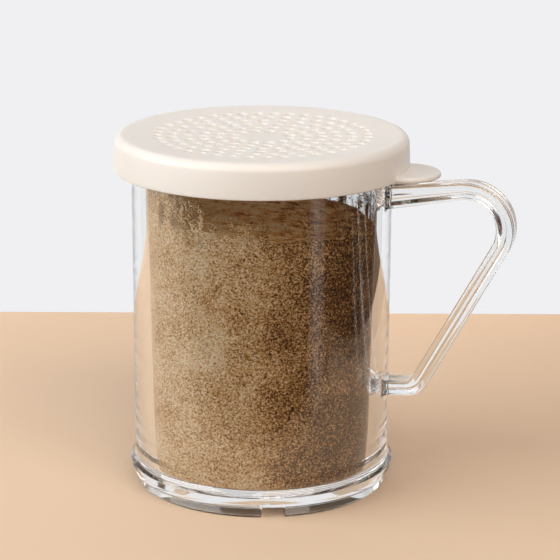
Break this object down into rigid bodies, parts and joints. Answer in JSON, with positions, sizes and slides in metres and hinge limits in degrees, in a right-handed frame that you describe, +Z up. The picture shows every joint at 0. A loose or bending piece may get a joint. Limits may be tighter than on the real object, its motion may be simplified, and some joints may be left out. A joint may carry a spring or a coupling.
{
  "type": "handled spice shaker jar",
  "caption": "Clear handled jar of ground spice with a push-fit perforated lid and thumb tab, for shaking spice over food.",
  "frame": {"origin": "centre of the foot ring, in the plane that the jar stands on", "axes": "+Z up along the jar's axis, +X from the axis towards the handle and the lid's thumb tab, +Y completes a right-handed frame"},
  "size_m": [0.1149, 0.084, 0.102],
  "materials": {
    "clear_plastic": "gloss",
    "lid_plastic": "satin",
    "spice": "matte"
  },
  "bodies": {
    "jar": {"jar_body": "clear_plastic", "jar_handle": "clear_plastic", "ground_spice": "spice"},
    "lid": {"lid_top": "lid_plastic", "lid_skirt": "lid_plastic", "lid_thumb_tab": "lid_plastic"}
  },
  "joints": [
    {"name": "lid_lift", "type": "slide", "parent": "jar", "child": "lid", "axis": [0, 0, 1], "range_m": [0, 0.04]}
  ]
}
